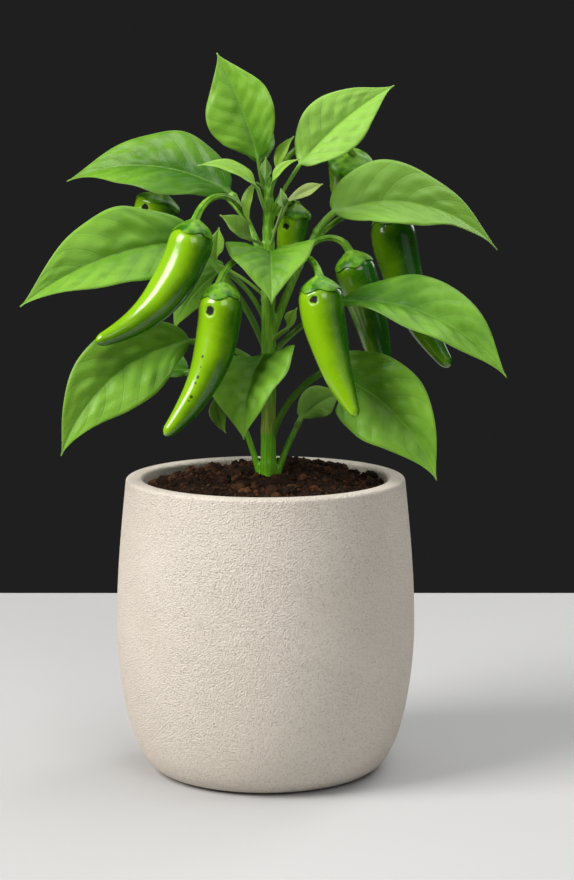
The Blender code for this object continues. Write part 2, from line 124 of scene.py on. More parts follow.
# %% Hang the lights
# name: place, height of the target, width, height, power, tint
SOFT_BOXES = {
    "key_box": ((-1.60, -0.85, 1.55), 0.22, 1.1, 1.3, 70.0, (1.0, 0.98, 0.95)),
    "front_box": ((0.70, -2.1, 1.7), 0.25, 1.3, 1.3, 21.0, (1.0, 1.0, 1.0)),
    "top_box": ((0.55, 0.2, 2.2), 0.2, 2.0, 2.0, 34.0, (1.0, 1.0, 1.0)),
    "fill_box": ((2.2, -1.2, 0.8), 0.25, 1.6, 1.6, 3.0, (0.95, 0.98, 1.0)),
    "rim_box": ((1.1, 1.4, 1.1), 0.3, 0.7, 1.2, 7.0, (1.0, 1.0, 1.0)),
}
ROOM_GREY = (0.0137, 0.0137, 0.014, 1.0)

for name, (place, target, width, height, power, tint) in SOFT_BOXES.items():
    lamp = bpy.data.lights.new(name, "AREA")
    lamp.shape = "RECTANGLE"
    lamp.size, lamp.size_y = width, height
    lamp.energy, lamp.color = power, tint
    point_at(add_object(name, lamp), place, (0.0, 0.0, target))
room = bpy.data.worlds.new("studio_room")
room.use_nodes = True
room.node_tree.nodes["Background"].inputs["Color"].default_value = ROOM_GREY
room.node_tree.nodes["Background"].inputs["Strength"].default_value = 1.0
bpy.context.scene.world = room
bpy.context.scene.view_settings.view_transform = "Standard"
print("lights:", len(SOFT_BOXES))

# %% [markdown]
# ## A bench for finishes
# A finish is a small network of nodes, and three helpers keep it readable. Wire wraps
# an output socket so that sums can be written with + - and *, each of which adds one
# Math node. Bench adds any other node: its settings are set first, then the values or
# links of its sockets. Finish is a bench that holds a material.

# %% Helpers for materials
def plug(tree, socket, value):
    if isinstance(value, Wire):
        tree.links.new(value.socket, socket)
    elif isinstance(value, tuple) and socket.type == "RGBA":
        socket.default_value = (*value, 1.0)
    else:
        socket.default_value = value


class Wire:
    """An output socket that can be used in a sum."""

    def __init__(self, tree, socket):
        self.tree = tree
        self.socket = socket

    def output(self, label):
        """Another output of the same node."""
        return Wire(self.tree, self.socket.node.outputs[label])

    def sum(self, operation, first, second):
        made = self.tree.nodes.new("ShaderNodeMath")
        made.operation = operation
        plug(self.tree, made.inputs[0], first)
        plug(self.tree, made.inputs[1], second)
        return Wire(self.tree, made.outputs[0])

    def __add__(self, other):
        return self.sum("ADD", self, other)

    def __radd__(self, other):
        return self.sum("ADD", other, self)

    def __sub__(self, other):
        return self.sum("SUBTRACT", self, other)

    def __rsub__(self, other):
        return self.sum("SUBTRACT", other, self)

    def __mul__(self, other):
        return self.sum("MULTIPLY", self, other)

    def __rmul__(self, other):
        return self.sum("MULTIPLY", other, self)


class Bench:
    """A tree of nodes to add to."""

    def __init__(self, tree):
        self.tree = tree

    def node(self, kind, settings, sockets, output=0):
        made = self.tree.nodes.new(kind)
        for key, value in settings.items():
            if key == "stops":
                elements = made.color_ramp.elements
                elements.remove(elements[-1])
                elements[0].position = value[0][0]
                elements[0].color = (*value[0][1], 1.0)
                for place, colour in value[1:]:
                    elements.new(place).color = (*colour, 1.0)
            else:
                setattr(made, key, value)
        for key, value in sockets.items():
            plug(self.tree, made.inputs[key], value)
        return Wire(self.tree, made.outputs[output]) if made.outputs else None


class Finish(Bench):
    """A material on the bench. Its patterns read the place on the object."""

    def __init__(self, name):
        self.material = bpy.data.materials.new(name)
        self.material.use_nodes = True
        super().__init__(self.material.node_tree)
        self.tree.nodes.clear()
        self.where = self.node("ShaderNodeTexCoord", {}, {}, "Object")

    def grain(self, scale, detail, roughness=0.5, where=None):
        """Noise, with the scale in waves per metre."""
        return self.node("ShaderNodeTexNoise", {}, {
            "Vector": where or self.where, "Scale": scale, "Detail": detail,
            "Roughness": roughness})

    def cells(self, feature, scale):
        """The distance within random cells, from their middles or their edges."""
        return self.node("ShaderNodeTexVoronoi", {"feature": feature},
                         {"Vector": self.where, "Scale": scale}, "Distance")

    def gap(self, spot):
        """The distance in metres from a spot in millimetres."""
        return self.node("ShaderNodeVectorMath", {"operation": "DISTANCE"},
                         {0: self.where, 1: tuple(spot * MM)}, "Value")

    def step(self, value, low, high):
        """0 below low and 1 above high, with a soft step between."""
        return self.node("ShaderNodeMapRange", {"interpolation_type": "SMOOTHSTEP"},
                         {0: value, 1: low, 2: high, 3: 0.0, 4: 1.0})

    def blend(self, share, first, second):
        """From the first colour at 0 to the second at 1."""
        return self.node("ShaderNodeMix", {"data_type": "RGBA"},
                         {0: share, 6: first, 7: second}, 2)

    def attribute(self, name):
        return self.node("ShaderNodeAttribute", {"attribute_name": name}, {}, "Fac")

    def bump(self, height, distance, strength):
        return self.node("ShaderNodeBump", {}, {
            "Height": height, "Distance": distance, "Strength": strength})

    def principled(self, **sockets):
        named = {key.replace("_", " "): value for key, value in sockets.items()}
        return self.node("ShaderNodeBsdfPrincipled", {}, named)

    def finished(self, shader):
        self.node("ShaderNodeOutputMaterial", {}, {"Surface": shader})
        print("finish:", self.material.name, len(self.tree.nodes), "nodes")
        return self.material


# %% Finish of the table top
def table_finish():
    finish = Finish("pale_table")
    shader = finish.principled(Base_Color=(0.49, 0.49, 0.49), Roughness=0.8)
    return finish.finished(shader)


table_top.data.materials.append(table_finish())

# %% [markdown]
# ## The pot
# The real pot is cast in a round mould, so its shape is one profile turned about the
# upright axis. Geometry Nodes do the turning: a flat grid is bent round, and each row
# of the grid takes its radius and height from one point of the profile. The points
# stand close together round the lip, where the light shows the bend.

# %% Measures of the pot
POT_HEIGHT = 179.0
POT_FLAT_RADIUS = 53.0
POT_BELLY_RADIUS = 90.0
POT_BELLY_HEIGHT = 86.0
POT_MOUTH_RADIUS = 84.0
POT_WALL = 10.4
POT_FLOOR = 14.0
LIP_ROUND = 2.6
LIP_SQUARENESS = 0.55
LIP_CROWN = 0.8
FOOT_FULLNESS = 0.62
FOOT_SLOPE = 1.25
FLOOR_INSET = 6.0
FLOOR_FILLET = (8.0, 12.0)


def between(a, b, t):
    return a + (b - a) * t


def pot_outside(upper_steps, lower_steps):
    """The outer wall from just under the lip down to the flat ring."""
    upper = []
    for step in range(upper_steps):
        share = step / upper_steps
        swell = math.sin(share * math.pi / 2)
        upper.append((between(POT_MOUTH_RADIUS, POT_BELLY_RADIUS, swell),
                      between(POT_HEIGHT - LIP_ROUND, POT_BELLY_HEIGHT, share)))
    lower = []
    for step in range(lower_steps + 1):
        angle = math.radians(90 * step / lower_steps)
        foot = (POT_BELLY_RADIUS - POT_FLAT_RADIUS)
        foot *= max(math.cos(angle), 0.0) ** FOOT_FULLNESS
        lower.append((POT_FLAT_RADIUS + foot,
                      POT_BELLY_HEIGHT * (1 - math.sin(angle) ** FOOT_SLOPE)))
    return upper + lower


def pot_inside(steps):
    """The inner wall from the floor's centre up to just under the lip."""
    floor_radius = POT_FLAT_RADIUS - FLOOR_INSET
    wall = [(radius - POT_WALL, height)
            for radius, height in reversed(pot_outside(steps, steps))
            if radius - POT_WALL > floor_radius + FLOOR_FILLET[0]
            and height > POT_FLOOR + FLOOR_FILLET[1]]
    return [(0.0, POT_FLOOR), (floor_radius * 0.5, POT_FLOOR), (floor_radius, POT_FLOOR)] + wall


def pot_profile():
    inside = pot_inside(24)
    mouth = inside[-1][0]
    half = (POT_MOUTH_RADIUS - mouth) / 2
    lip = []
    for step in range(17):
        angle = math.radians(170 - 10 * step)
        flat = abs(math.cos(angle)) ** LIP_SQUARENESS * math.copysign(1, math.cos(angle))
        lip.append((mouth + half + half * flat,
                    POT_HEIGHT - LIP_ROUND + LIP_ROUND * math.sin(angle) ** LIP_CROWN))
    return inside + lip + pot_outside(26, 34) + [(POT_FLAT_RADIUS * 0.5, 0.0), (0.0, 0.0)]


print("profile points:", len(pot_profile()))

# %% [markdown]
# The helper below builds a tree of Geometry Nodes with named inputs, hands it to an
# object, and turns the result into a plain mesh. The turning tree is the first to use
# it.

# %% Helpers for Geometry Nodes
class Tree(Bench):
    """A tree of Geometry Nodes with one geometry in and one out."""

    def __init__(self, name, inputs):
        super().__init__(bpy.data.node_groups.new(name, "GeometryNodeTree"))
        sockets = self.tree.interface
        sockets.new_socket("Geometry", in_out="INPUT", socket_type="NodeSocketGeometry")
        for label, kind in inputs.items():
            sockets.new_socket(label, in_out="INPUT", socket_type="NodeSocket" + kind)
        sockets.new_socket("Geometry", in_out="OUTPUT", socket_type="NodeSocketGeometry")
        self.source = self.node("NodeGroupInput", {}, {})

    def given(self, label):
        return self.source.output(label)

    def ends(self, geometry):
        """Every tree ends with real geometry that carries its material."""
        real = self.node("GeometryNodeRealizeInstances", {}, {"Geometry": geometry})
        dressed = self.node("GeometryNodeSetMaterial", {},
                            {"Geometry": real, "Material": self.given("Material")})
        self.node("NodeGroupOutput", {}, {0: dressed})

    def run(self, piece, values):
        """Apply the tree to the piece and keep the result as its mesh."""
        modifier = piece.modifiers.new(self.tree.name, "NODES")
        modifier.node_group = self.tree
        for socket in self.tree.interface.items_tree:
            if socket.in_out == "INPUT" and socket.name in values:
                modifier[socket.identifier] = values[socket.name]
        bpy.context.view_layer.update()
        shaped = piece.evaluated_get(bpy.context.evaluated_depsgraph_get())
        mesh = bpy.data.meshes.new_from_object(shaped)
        name = piece.name
        bpy.data.objects.remove(piece, do_unlink=True)
        mesh.name = name
        print("tree:", self.tree.name, "made", name, len(mesh.polygons), "faces")
        return add_object(name, mesh)


# %% Turn a profile
def turning_tree():
    tree = Tree("turn_profile", {"Facets": "Int", "Rows": "Int", "Material": "Material"})
    columns = tree.given("Facets") + 1
    grid = tree.node("GeometryNodeMeshGrid", {},
                     {"Vertices X": columns, "Vertices Y": tree.given("Rows")})
    parts = tree.node("ShaderNodeSeparateXYZ", {}, {0: grid.output("UV Map")})
    row = tree.node("ShaderNodeMath", {"operation": "ROUND"},
                    {0: parts.output("Y") * (tree.given("Rows") - 1)})
    spot = tree.node("GeometryNodeInputPosition", {}, {})
    taken = tree.node("GeometryNodeSampleIndex", {"data_type": "FLOAT_VECTOR"},
                      {"Geometry": tree.given("Geometry"), "Value": spot, "Index": row})
    turned = tree.node("ShaderNodeVectorRotate", {"rotation_type": "Z_AXIS"},
                       {"Vector": taken, "Angle": parts * (2 * math.pi)})
    moved = tree.node("GeometryNodeSetPosition", {}, {"Geometry": grid, "Position": turned})
    closed = tree.node("GeometryNodeMergeByDistance", {},
                       {"Geometry": moved, "Distance": 0.00001})
    tree.ends(tree.node("GeometryNodeSetShadeSmooth", {}, {"Geometry": closed}))
    return tree


TURNING = turning_tree()


def turned_piece(name, profile, facets, material):
    line = mesh_piece(name, [(radius, 0.0, height) for radius, height in profile],
                      [], smooth=False)
    return TURNING.run(line, {"Facets": facets, "Rows": len(profile), "Material": material})


def signed_volume(mesh):
    """Six times the volume; below zero when the faces look inwards."""
    total = 0.0
    for polygon in mesh.polygons:
        corners = [mesh.vertices[index].co for index in polygon.vertices]
        for second, third in zip(corners[1:], corners[2:]):
            total += corners[0].dot(second.cross(third))
    return total


def stand_in(piece, slot, *nodes, finish=None):
    """Let the piece take the place of plain solids and check which way it faces."""
    if finish:
        piece.data.materials.append(finish)
    if signed_volume(piece.data) < 0:
        piece.data.flip_normals()
    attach(piece, "root")
    if nodes:
        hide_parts(*nodes)


# %% [markdown]
# The stone is cast from fine pale sand. Close up it shows three things: soft clouds of
# a warmer and a cooler sand, single darker and lighter grains about a millimetre
# wide, and small pits where air stood against the mould. The noise that colours the
# grains also raises them as low knobs, and the noise that marks the pits sinks them
# and darkens them with painted shade.

# %% Finish of the pot
def stone_finish():
    finish = Finish("cast_sandstone")
    clouds = finish.step(finish.grain(14.0, 2.0), 0.25, 0.75)
    sand = finish.blend(clouds, (0.725, 0.652, 0.565), (0.77, 0.702, 0.62))
    coarse = finish.step(finish.grain(16.0, 2.0), 0.32, 0.66)
    grains = finish.grain(1000.0, 2.0, 0.6)
    dark = finish.step(grains, 0.55, 0.66)
    pale = finish.step(1 - grains, 0.58, 0.70)
    sand = finish.blend(dark * 0.36, sand, (0.40, 0.33, 0.255))
    sand = finish.blend(pale * 0.45, sand, (0.88, 0.83, 0.75))
    pits = finish.step(finish.grain(760.0, 2.0, 0.6), 0.59, 0.68)
    pits = pits * (0.35 + 0.65 * coarse)
    # painted shade: the pits are darkened in colour as well as sunk by the bump
    sand = finish.blend(pits * 0.42, sand, (0.34, 0.27, 0.20))
    relief = (grains - 0.5) * (0.75 + 0.1 * coarse) - 0.05 * pits
    shader = finish.principled(Base_Color=sand, Roughness=0.88, Specular_IOR_Level=0.2,
                               Normal=finish.bump(relief, 0.0025, 0.95))
    return finish.finished(shader)


# %% Make the pot
pot = turned_piece("stone_pot", pot_profile(), 180, stone_finish())
stand_in(pot, "pot_stone", "pot")

# %% [markdown]
# ## The potting mix
# Potting mix is a rough heap of peat clods with loose crumbs on top. The heap is the
# turning tree again, with its upper face raised by a hump and by noise. The crumbs
# are scattered over it by a second tree: points on the faces, a small ball on each,
# turned and scaled at random, made real, and then dented by noise so that no two are
# alike.

# %% Heap up the mix
SOIL_EDGE_HEIGHT = 171.5
SOIL_PLATEAU_HEIGHT = 178.6
SOIL_HUMP = (12.0, 42.0, 4.2, 26.0)
CRUMB_RELIEF = 1.1
# strength, size and layer of each noise that dents the heap
CLOD_WAVES = ((1.0, 6.0, 0.0), (0.6, 3.0, 9.0), (0.45, 1.6, 4.0))
ROOM = 0.5
SOIL_RIM = 73.2


def soil_height(x, y):
    reach = math.hypot(x, y) / (POT_MOUTH_RADIUS - POT_WALL)
    height = between(SOIL_PLATEAU_HEIGHT, SOIL_EDGE_HEIGHT, reach ** 3)
    hump_x, hump_y, rise, spread = SOIL_HUMP
    height += rise * math.exp(-((x - hump_x) ** 2 + (y - hump_y) ** 2) / (2 * spread ** 2))
    clods = sum(strength * noise.noise(Vector((x, y, layer)) / size)
                for strength, size, layer in CLOD_WAVES)
    return height + CRUMB_RELIEF * clods * (1 - min(reach, 1.0) ** 8)


def soil_finish():
    finish = Finish("moist_potting_mix")
    tone = finish.attribute("tone")
    mottle = finish.grain(450.0, 4.0, 0.6)
    colour = finish.node("ShaderNodeValToRGB", {"stops": (
        (0.0, (0.010, 0.0048, 0.0022)), (0.35, (0.028, 0.0118, 0.0052)),
        (0.7, (0.068, 0.028, 0.0105)), (1.0, (0.150, 0.063, 0.024)))},
        {0: tone * 0.75 + mottle * 0.5 - 0.2})
    shader = finish.principled(Base_Color=colour, Roughness=0.9, Specular_IOR_Level=0.15,
                               Normal=finish.bump(finish.grain(1500.0, 3.0), 0.0005, 0.8))
    return finish.finished(shader)


SOIL_FINISH = soil_finish()
heap_profile = [(SOIL_RIM * step / 48, SOIL_EDGE_HEIGHT) for step in range(49)]
heap_profile += [(radius - ROOM, max(height, POT_FLOOR + ROOM))
                 for radius, height in reversed(pot_inside(24))
                 if height < SOIL_EDGE_HEIGHT - 1.0 and radius > 0.0]
heap_profile.append((0.0, POT_FLOOR + ROOM))
heap = turned_piece("potting_mix", heap_profile, 150, SOIL_FINISH)
for vertex in heap.data.vertices:
    x, y, z = vertex.co / MM
    if z > SOIL_EDGE_HEIGHT - 0.01 and math.hypot(x, y) < SOIL_RIM - 0.5:
        vertex.co.z = soil_height(x, y) * MM
stand_in(heap, "soil_brown", "soil")


# %% Scatter the crumbs
def crumb_tree():
    tree = Tree("scatter_crumbs", {"Crumbs per square metre": "Float", "Smallest": "Float",
                                   "Largest": "Float", "Roundness": "Int", "Dents": "Float",
                                   "Seed": "Int", "Material": "Material"})
    points = tree.node("GeometryNodeDistributePointsOnFaces", {},
                       {"Mesh": tree.given("Geometry"), "Seed": tree.given("Seed"),
                        "Density": tree.given("Crumbs per square metre")})
    size = tree.node("FunctionNodeRandomValue", {"data_type": "FLOAT"},
                     {2: tree.given("Smallest"), 3: tree.given("Largest"),
                      "Seed": tree.given("Seed") + 3}, 1)
    shape = tree.node("FunctionNodeRandomValue", {"data_type": "FLOAT_VECTOR"},
                      {0: (0.6, 0.6, 0.45), 1: (1.25, 1.0, 0.9)})
    scale = tree.node("ShaderNodeVectorMath", {"operation": "SCALE"},
                      {0: shape, "Scale": size})
    turn = tree.node("FunctionNodeRandomValue", {"data_type": "FLOAT_VECTOR"},
                     {0: (0.0, 0.0, 0.0), 1: (6.28, 6.28, 6.28), "Seed": 8})
    ball = tree.node("GeometryNodeMeshIcoSphere", {},
                     {"Radius": 1.0, "Subdivisions": tree.given("Roundness")})
    placed = tree.node("GeometryNodeInstanceOnPoints", {},
                       {"Points": points, "Instance": ball, "Scale": scale,
                        "Rotation": tree.node("FunctionNodeEulerToRotation", {}, {0: turn})})
    tone = tree.node("FunctionNodeRandomValue", {"data_type": "FLOAT"},
                     {2: 0.0, 3: 1.0, "Seed": 21}, 1)
    toned = tree.node("GeometryNodeStoreNamedAttribute",
                      {"data_type": "FLOAT", "domain": "INSTANCE"},
                      {"Geometry": placed, "Name": "tone", "Value": tone * tone})
    real = tree.node("GeometryNodeRealizeInstances", {}, {"Geometry": toned})
    spot = tree.node("GeometryNodeInputPosition", {}, {})
    facing = tree.node("GeometryNodeInputNormal", {}, {})
    rough = tree.node("ShaderNodeTexNoise", {}, {"Vector": spot, "Scale": 700.0, "Detail": 1.0})
    dent = tree.node("ShaderNodeVectorMath", {"operation": "SCALE"},
                     {0: facing, "Scale": (rough - 0.5) * tree.given("Dents")})
    tree.ends(tree.node("GeometryNodeSetPosition", {}, {"Geometry": real, "Offset": dent}))
    return tree


def full_turn(count):
    """The angles of a circle's points."""
    return [2 * math.pi * k / count for k in range(count)]


def soil_top(name):
    """The upper face of the mix inside a ring, as ground to scatter on."""
    rings, turns = 26, 90
    points, faces = [(0.0, 0.0, soil_height(0.0, 0.0))], []
    for ring in range(1, rings + 1):
        radius = (SOIL_RIM - 1.2) * ring / rings
        for angle in full_turn(turns):
            x, y = radius * math.cos(angle), radius * math.sin(angle)
            points.append((x, y, soil_height(x, y)))
    for ring in range(rings):
        for k in range(turns):
            outer = (1 + ring * turns + k, 1 + ring * turns + (k + 1) % turns)
            inner = (0,) if ring == 0 else (outer[1] - turns, outer[0] - turns)
            faces.append(outer + inner)
    return mesh_piece(name, points, faces)


CRUMBS = crumb_tree()
# name: crumbs per square metre, smallest, largest, roundness, dents, seed
CRUMB_SIZES = {
    "fine_crumbs": (200000.0, 0.45, 1.25, 1, 0.9, 5),
    "coarse_crumbs": (42000.0, 1.2, 2.3, 2, 1.8, 11),
    "clods": (8500.0, 2.2, 4.9, 3, 3.6, 17),
}
for name, (density, smallest, largest, roundness, dents, seed) in CRUMB_SIZES.items():
    crumbs = CRUMBS.run(soil_top(name), {
        "Crumbs per square metre": density, "Smallest": smallest * MM, "Largest": largest * MM,
        "Roundness": roundness, "Dents": dents * MM, "Seed": seed, "Material": SOIL_FINISH})
    stand_in(crumbs, "soil_brown")

# %% [markdown]
# ## How the plant grows
# Every green piece follows one rule. It leaves its limb at a place, keeps its
# heading and changes its rise evenly, which draws an arc as a real stalk does under
# its load. The rows below give each piece its numbers, and the functions turn
# them into points. The rows are the measures of the plain solids, so the finer
# pieces lie where those lie.

# %% Measures of the plant
STEM_X = 1.8
STEM_SHAPE = ((132, 4.8), (178, 5.0), (190, 4.7), (204, 4.4), (240, 4.3), (262, 4.3),
              (285, 3.9), (308, 3.6), (330, 3.2), (345, 2.6), (355, 1.7), (361, 0.9))
# branch: height on the stem, heading, length, rise at foot and end, radii
BRANCHES = {
    "right": (257, 28, 74, 71, 58, 2.7, 2.2),
    "left": (303, 146, 49, 64, 56, 2.5, 2.1),
    "base_right": (156, 30, 56, 81, 57, 2.5, 1.8),
    "base_left": (150, 167, 66, 83, 67, 2.2, 1.7),
}
# leaf: limb, place, stalk (heading, length, rise at heel and blade, radius), blade
# (heading, length, width, rise at base and tip, roll at base and tip, widest place)
LEAVES = {
    "leaf_crown_left": ("stem", 342, (150, 28, 69, 83, 1.3),
                        (160, 67, 43, 73, 61, -90, -84, 0.42)),
    "leaf_crown_right": ("stem", 334, (-6, 37, 63, 55, 1.2), (18, 75, 38, 49, 27, 62, 52, 0.40)),
    "leaf_crown_back": ("stem", 352, (106, 24, 42, 30, 1.0), (113, 48, 26, 54, 30, 0, 8, 0.36)),
    "leaf_upper_left": ("left", 1.0, (149, 6, 40, 34, 2.0),
                        (155, 114, 46, 27, -23, -50, -46, 0.36)),
    "leaf_upper_right": ("right", 1.0, (12, 17, 58, 38, 2.1),
                         (21, 118, 52, 20, -46, 46, 42, 0.32)),
    "leaf_upper_back": ("stem", 286, (86, 34, 51, 16, 1.5), (81, 78, 42, 16, -44, 0, 0, 0.36)),
    "leaf_middle_left": ("stem", 250, (178, 84, 72, 42, 1.8),
                         (206, 116, 51, 1, -36, -54, -50, 0.36)),
    "leaf_middle_right": ("stem", 250, (-14, 55, 51, 27, 1.7),
                          (-21, 117, 47, 10, -52, 18, 48, 0.44)),
    "leaf_inner_left": ("stem", 264, (155, 51, 78, 24, 1.4),
                        (172, 48, 30, -34, -69, -55, -50, 0.36)),
    "leaf_lower_left": ("stem", 240, (190, 54, 49, -1, 1.8),
                        (205, 109, 47, -5, -71, -72, -70, 0.42)),
    "leaf_lower_right": ("stem", 186, (-23, 72, 88, 28, 1.9),
                         (-26, 98, 50, -12, -68, 72, 70, 0.42)),
    "leaf_lower_back": ("stem", 228, (98, 38, 30, 0, 1.5), (97, 70, 34, 4, -50, 0, 0, 0.36)),
    "leaf_low_back_left": ("stem", 233, (151, 58, 18, -7, 2.1),
                           (148, 77, 40, 7, -43, -25, -20, 0.36)),
    "leaf_front_upper": ("stem", 307, (-82, 14, 58, 8, 1.4), (-89, 52, 52, 8, -78, 3, 3, 0.28)),
    "leaf_front_lower": ("stem", 245, (-101, 16, 58, 8, 1.4),
                         (-112, 60, 60, -18, -94, 10, 10, 0.27)),
    "sprout_base_right": ("base_right", 1.0, (39, 6, 64, 54, 1.7),
                          (18, 30, 21, 45, 11, 60, 60, 0.45)),
    "sprout_base_left": ("base_left", 1.0, (172, 23.5, 92, -2, 1.5),
                         (145, 26, 11, -76, -138, -150, -150, 0.45)),
    "sprout_knob": ("stem", 285, (164, 39, 45, 20, 1.0), (180, 22, 9, 93, 97, -100, -100, 0.60)),
    "sprout_left": ("stem", 317, (208, 12, 24, 19, 0.9), (190, 24, 13, 48, 28, -60, -60, 0.45)),
    "sprout_arched": ("stem", 334, (239, 21, 52, 62, 1.2), (183, 40, 11, 54, -12, -40, -40, 0.45)),
    "sprout_hanging": ("stem", 340, (203, 18, 100, 26, 0.8),
                       (198, 26, 8, -50, -112, -30, -30, 0.45)),
    "sprout_pale": ("stem", 319, (-34, 29, 58, 64, 1.1), (-6, 23, 8, 30, 22, 60, 60, 0.60)),
    "sprout_axil": ("stem", 312, (-60, 34, 64, 54, 0.8), (-140, 11, 8, 77, 87, 0, 0, 0.45)),
    "sprout_crown": ("stem", 344, (-69, 10, 60, 50, 1.0), (-8, 25, 7, 80, 10, 50, 50, 0.35)),
    "sprout_tall": ("stem", 351, (8, 13, 68, 64, 0.9), (6, 22, 8, 82, 42, 50, 50, 0.45)),
    "sprout_bud": ("stem", 350, (-112, 8, 60, 66, 0.9), (-89, 13, 7, 83, 78, 0, 0, 0.40)),
    "sprout_small_right": ("stem", 259, (-36, 17, 40, 30, 1.4),
                           (-10, 14, 9, 70, 60, 60, 60, 0.45)),
}
# pod: limb, place, pedicel (heading, length, rise at heel and pod), pod (heading,
# length, width, rise at calyx and tip, taper)
PODS = {
    "1": ("left", 0.66, (-123, 64, 59, -57), (-157, 95, 26.5, -80, -14, 0.78)),
    "2": ("stem", 300, (-123, 59, 51, -59), (-154, 95, 26.0, -94, -40, 0.76)),
    "3": ("right", 0.70, (-77, 55, 30, -40), (-40, 83, 26.5, -86, -54, 0.80)),
    "4": ("right", 0.80, (0, 36, 70, -70), (11, 74, 24.5, -71, -77, 0.56)),
    "5": ("right", 0.70, (41, 86, 56, -14), (-24, 103, 28.0, -86, -48, 0.74)),
    "6": ("stem", 346, (45, 88, 73, -39), (100, 40, 27.0, -52, -48, 0.70)),
    "7": ("left", 0.60, (139, 81, 55, -31), (-160, 53, 28.0, -70, -55, 0.75)),
    "8": ("stem", 326, (42, 29, 83, -17), (146, 44, 19.5, -81, -81, 0.65)),
}
# height of a low ring round the stem
STEM_RING = 206


# %% Follow an arc
def heading_vector(heading, rise):
    flat = math.cos(math.radians(rise))
    return Vector((flat * math.cos(math.radians(heading)),
                   flat * math.sin(math.radians(heading)),
                   math.sin(math.radians(rise))))


def arc_facing(arc, share):
    """Where an arc (heading, length, rise at its start and end) runs at a share of it."""
    heading, length, rise_a, rise_b = arc
    return heading_vector(heading, between(rise_a, rise_b, share))


def arc_point(start, arc, share):
    """The point at a share of the arc, summed up in small steps."""
    steps = 12
    point = Vector(start)
    for step in range(steps):
        point += arc_facing(arc, share * (step + 0.5) / steps) * (arc[1] * share / steps)
    return point


def stem_point(height):
    return Vector((STEM_X, 0.0, height))


def limb_point(limb, place):
    if limb == "stem":
        return stem_point(place)
    foot, *arc, thick, thin = BRANCHES[limb]
    return arc_point(stem_point(foot), arc, place)


def stem_radius(height):
    """The stem's radius, with a low swelling wherever something grows from it."""
    for (low, first), (high, second) in zip(STEM_SHAPE, STEM_SHAPE[1:]):
        if height <= high:
            radius = between(first, second, (height - low) / (high - low))
            break
    knots = {row[1] for row in [*LEAVES.values(), *PODS.values()] if row[0] == "stem"}
    for knot in knots | {STEM_RING}:
        radius += 0.35 * math.exp(-((height - knot) / 2.4) ** 2)
    return radius


print("leaves and sprouts:", len(LEAVES), "pods:", len(PODS))

# %% [markdown]
# ## The stem
# Stem and branches grew as one body, with a soft collar where each stalk springs.
# Separate tubes would meet in hard creases. So the tree below sweeps a circle along
# every line, melts all the tubes into one volume, and draws a new skin round it. A
# little blur of the skin rounds the inner corners, as bark does.

# %% Draw the centre lines
COLLAR = 9.0
PEDICEL_RADIUS = 1.8


def stub(start, arc, radius):
    """The first millimetres of a stalk, thicker where it leaves its limb."""
    reach = min(COLLAR, 0.8 * arc[1])
    return [(arc_point(start, arc, k / 6 * reach / arc[1]),
             between(radius + 0.8, radius - 0.25, k / 6)) for k in range(7)]


def limb_lines():
    """Lines of (point, radius): the stem, its branches and a stub for every stalk."""
    lines = [[(stem_point(height), stem_radius(height)) for height in range(133, 362, 2)]]
    for foot, *arc, thick, thin in BRANCHES.values():
        lines.append([(arc_point(stem_point(foot), arc, k / 24), between(thick, thin, k / 24))
                      for k in range(25)])
    for limb, place, (*arc, radius), blade in LEAVES.values():
        lines.append(stub(limb_point(limb, place), arc, radius))
    for limb, place, arc, pod in PODS.values():
        lines.append(stub(limb_point(limb, place), arc, PEDICEL_RADIUS))
    return lines


def carry(piece, **measures):
    """Let every point of the piece carry some measures."""
    for name, values in measures.items():
        piece.data.attributes.new(name, "FLOAT", "POINT").data.foreach_set("value", values)


print("lines to melt:", len(limb_lines()))


def line_piece(name, lines):
    """Lines as loose edges that carry their thickness."""
    points, edges, radii = [], [], []
    for line in lines:
        edges += [(len(points) + k, len(points) + k + 1) for k in range(len(line) - 1)]
        points += [point for point, radius in line]
        radii += [radius * MM for point, radius in line]
    piece = mesh_piece(name, points, [], edges, smooth=False)
    carry(piece, thickness=radii)
    return piece


# %% Melt the tubes together
def melting_tree():
    tree = Tree("melt_limbs", {"Facets": "Int", "Voxel": "Float", "Blur": "Int",
                               "Material": "Material"})
    line = tree.node("GeometryNodeMeshToCurve", {}, {"Mesh": tree.given("Geometry")})
    ring = tree.node("GeometryNodeCurvePrimitiveCircle", {},
                     {"Resolution": tree.given("Facets"), "Radius": 1.0})
    thickness = tree.node("GeometryNodeInputNamedAttribute", {"data_type": "FLOAT"},
                          {"Name": "thickness"})
    tubes = tree.node("GeometryNodeCurveToMesh", {},
                      {"Curve": line, "Profile Curve": ring, "Scale": thickness,
                       "Fill Caps": True})
    cloud = tree.node("GeometryNodeMeshToVolume", {"resolution_mode": "VOXEL_SIZE"},
                      {"Mesh": tubes, "Density": 1.0, "Voxel Size": tree.given("Voxel"),
                       "Interior Band Width": 0.0006})
    skin = tree.node("GeometryNodeVolumeToMesh", {}, {"Volume": cloud, "Threshold": 0.1})
    spot = tree.node("GeometryNodeInputPosition", {}, {})
    soft = tree.node("GeometryNodeBlurAttribute", {"data_type": "FLOAT_VECTOR"},
                     {"Value": spot, "Iterations": tree.given("Blur")})
    calm = tree.node("GeometryNodeSetPosition", {}, {"Geometry": skin, "Position": soft})
    tree.ends(tree.node("GeometryNodeSetShadeSmooth", {}, {"Geometry": calm}))
    return tree


